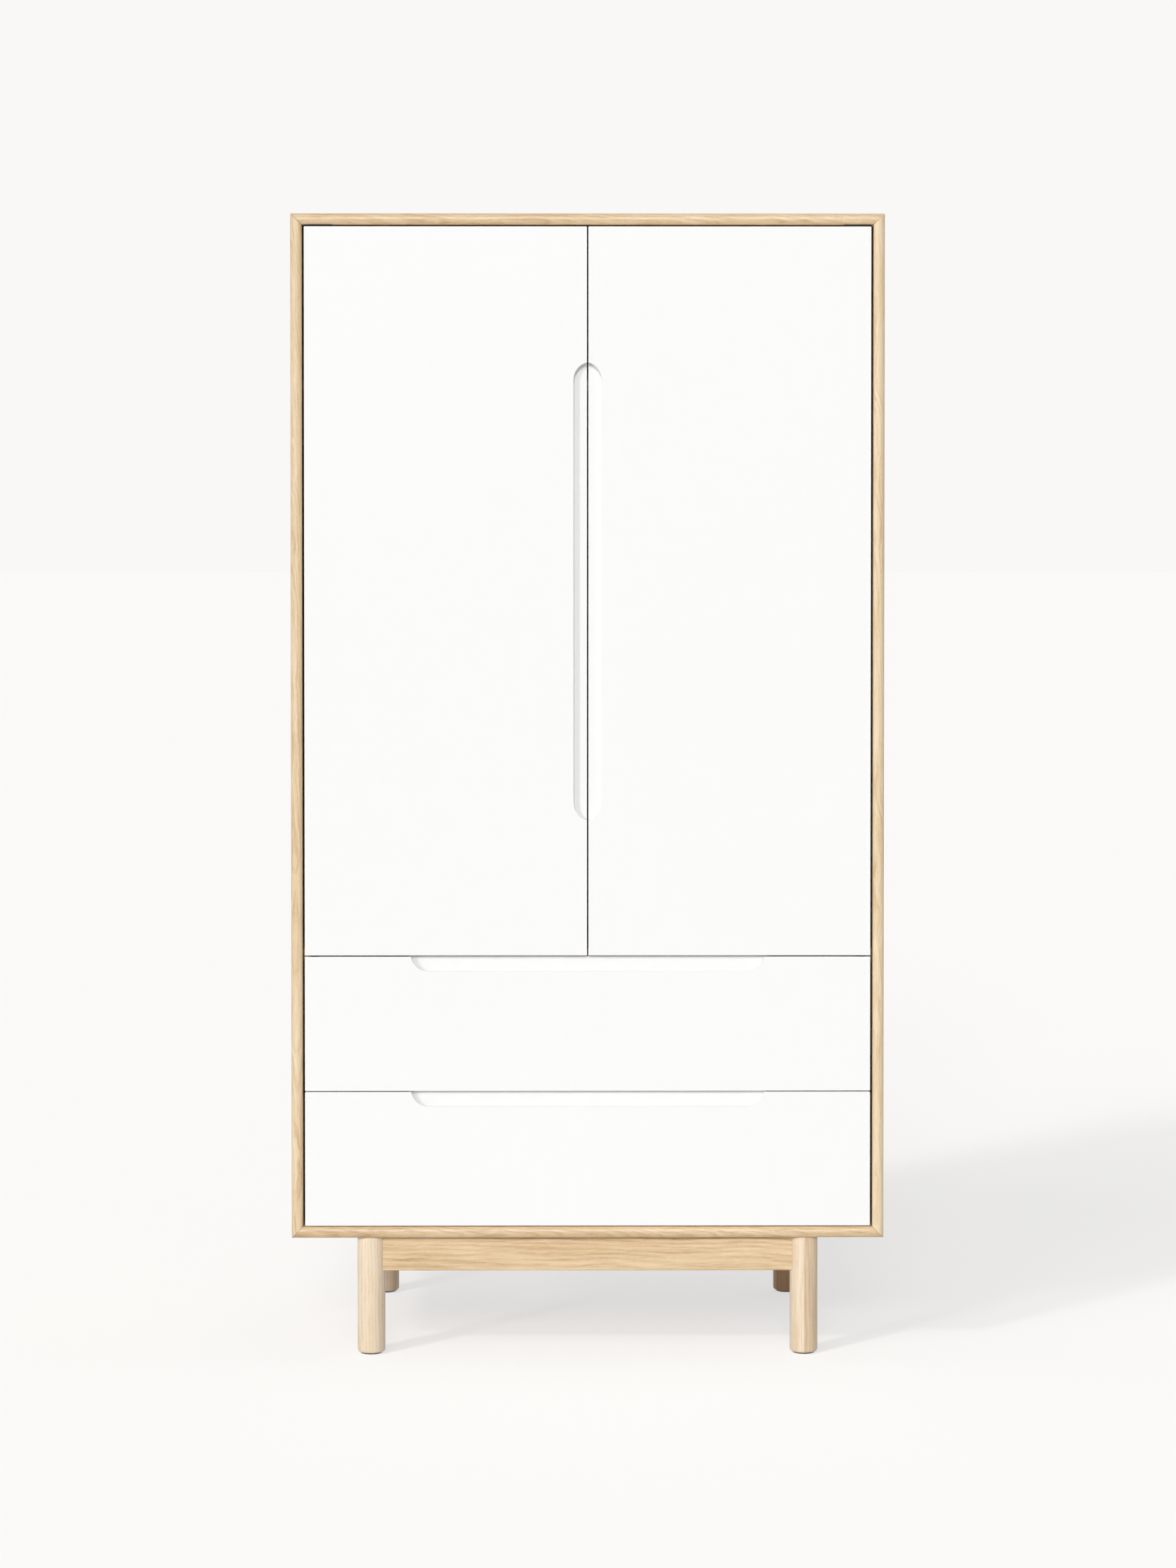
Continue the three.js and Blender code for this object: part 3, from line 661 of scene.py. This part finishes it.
def studio():
    """The floor, the sky and the lights. The paper that shows is lit from within as a light table is,
    so that its shadows stay pale. The darker sheet below it is what the armoire sees, so that its
    undersides stay in shade."""
    glow = tuple(channel - own * FLOOR_LIGHT for channel, own in zip(PALE, FLOOR_DIFFUSE)) + (1.0,)
    paper = floor_sheet("floor", -PAPER_DROP, FLOOR_DIFFUSE + (1.0,), glow)
    paper.visible_diffuse = False
    paper.visible_shadow = False
    under = floor_sheet("floor_below", -UNDER_DROP, UNDER_FLOOR)
    under.visible_camera = False
    under.visible_glossy = False

    world = bpy.data.worlds.new("studio")
    bpy.context.scene.world = world
    world.use_nodes = True
    tree = world.node_tree
    backdrop = tree.nodes["Background"]
    backdrop.inputs["Color"].default_value = PALE
    sky = tree.nodes.new("ShaderNodeBackground")
    # The sky is brighter behind the armoire, for its back and far sides
    towards = tree.nodes.new("ShaderNodeTexCoord")
    apart = tree.nodes.new("ShaderNodeSeparateXYZ")
    tree.links.new(towards.outputs["Generated"], apart.inputs[0])
    ramp = tree.nodes.new("ShaderNodeMapRange")
    for index, value in enumerate((*SKY_RISE, SKY, SKY + SKY_BEHIND), 1):
        ramp.inputs[index].default_value = value
    tree.links.new(apart.outputs[1], ramp.inputs[0])
    tree.links.new(ramp.outputs[0], sky.inputs["Strength"])
    ray = tree.nodes.new("ShaderNodeLightPath")
    either = tree.nodes.new("ShaderNodeMixShader")
    tree.links.new(ray.outputs["Is Camera Ray"], either.inputs[0])
    tree.links.new(sky.outputs[0], either.inputs[1])
    tree.links.new(backdrop.outputs[0], either.inputs[2])
    tree.links.new(either.outputs[0], tree.nodes["World Output"].inputs[0])
    sky.inputs["Color"].default_value = level(1.0)

    sun("key", *KEY_SUN)
    sun("key_on_paper", *PAPER_SUN, only=paper)
    sun("wide_on_paper", *WIDE_SUN, only=paper)
    sun("soft", *SOFT_SUN)
    scene = bpy.context.scene
    scene.view_settings.view_transform = "Standard"
    scene.view_settings.look = "None"


LENS = 80.74
FRAME_SHIFT = -0.1173
CAMERA_PLACE = (-0.0308, -6.1936, 1.3905)
CAMERA_TILT = 0.019
CAMERA_TURN = -0.0053


def camera():
    """Level with the upper third of the doors and square on, with the frame slid down to keep the
    uprights parallel."""
    data = bpy.data.cameras.new("camera")
    data.sensor_fit = "VERTICAL"
    data.sensor_height = 36.0
    data.lens = LENS
    data.shift_y = FRAME_SHIFT
    data.clip_end = 200
    made = bpy.data.objects.new("camera", data)
    bpy.context.scene.collection.objects.link(made)
    made.location = CAMERA_PLACE
    made.rotation_euler = (math.radians(90) - CAMERA_TILT, 0, CAMERA_TURN)
    bpy.context.scene.camera = made


# ------------------------------------------------------------------ put together

def middle_of(name):
    low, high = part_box(name)
    return tuple((a + b) / 2 for a, b in zip(low, high))


VENEER = {"stave": 0.24, "slope": 0.04, "contrast": 0.8}
DRAWER_BOARD = {"stave": 0.3, "slope": 0.03, "contrast": 0.5}
ONE_BOARD = {"stave": 0.3, "offset": -0.15, "wander": 0.012}
SPLIT_LEG = {"slope": 0.02, "stave": 0.03, "wander": 0.012, "darker": (-0.1, 0.35)}

OAK_PIECES = {
    # name: (grain, staves across, through), tones, seed and what differs from the usual board
    # The side panels take the paler oak with painted sheen
    "side_panel_left": ("ZYX", OAK_UPRIGHT_PAINTED_SHEEN, 3, {}),
    "side_panel_right": ("ZYX", OAK_UPRIGHT_PAINTED_SHEEN, 8, {}),
    "top_panel": ("XYZ", OAK, 5, {}),
    "bottom_panel": ("XYZ", OAK, 11, {}),
    "fixed_shelf": ("XYZ", OAK, 13, {}),
    "hat_shelf": ("XYZ", OAK, 17, {}),
    "base_rail_front": ("XZY", OAK, 21, {"slope": 0.02, **ONE_BOARD}),
    "base_rail_rear": ("XZY", OAK, 24, {"slope": 0.02, **ONE_BOARD}),
    "base_rail_left": ("YZX", OAK, 27, {"slope": 0.03, **ONE_BOARD}),
    "base_rail_right": ("YZX", OAK, 28, {"slope": 0.03, **ONE_BOARD}),
    "leg_front_left": ("ZYX", OAK_LEG, 31, {"slope": 0.02, **ONE_BOARD}),
    "leg_front_right": ("ZXY", OAK_LEG, 35, SPLIT_LEG),
    "leg_rear_left": ("ZXY", OAK_LEG, 37, {"slope": 0.02, **ONE_BOARD}),
    # The rear right leg takes the darker oak with painted shade
    "leg_rear_right": ("ZYX", OAK_PAINTED_SHADE, 44, {"slope": 0.02, **ONE_BOARD}),
}


def finish_wood():
    for name, (axes, tones, seed, usual) in OAK_PIECES.items():
        paint(name, wood("oak_" + name, axes, middle_of(name), seed, tones, **usual))
        soften(nodes[name], LEG_EDGE if "leg" in name else BOARD_EDGE)
    back = middle_of("back_panel")
    paint("back_panel", wood("oak_back", "ZXY", back, 51, OAK, **VENEER))
    for number, label in enumerate(LEVELS):
        boards = {f"drawer_side_{side}_{label}": "YZX" for side in SIDES}
        boards[f"drawer_back_{label}"] = "XZY"
        boards[f"drawer_bottom_{label}"] = "XYZ"
        for name, axes in boards.items():
            seed = 60 + number * 10 + len(name)
            paint(name, wood("birch_" + name, axes, middle_of(name), seed, BIRCH, **DRAWER_BOARD))


def finish_rest():
    starts = {
        "door_left": white, "door_right": white, "drawer_front": white,
        "runner": black_steel, "shelf_pin": zinc,
        "hanging_rail": chrome, "rail_socket": chrome,
        "pivot": black_coat, "bush": nylon, "glide": dark_plastic, "door_catch": dark_plastic,
    }
    for name, piece in nodes.items():
        for start, material in starts.items():
            if name.startswith(start):
                paint(name, material)
                if material is white:
                    soften(piece, FRONT_EDGE, 3)
                else:
                    soften(piece, METAL_EDGE)
        if name.startswith(("drawer_side", "drawer_back")):
            soften(piece, DRAWER_EDGE)


studio()
camera()
finish_wood()
finish_rest()
fit_out()
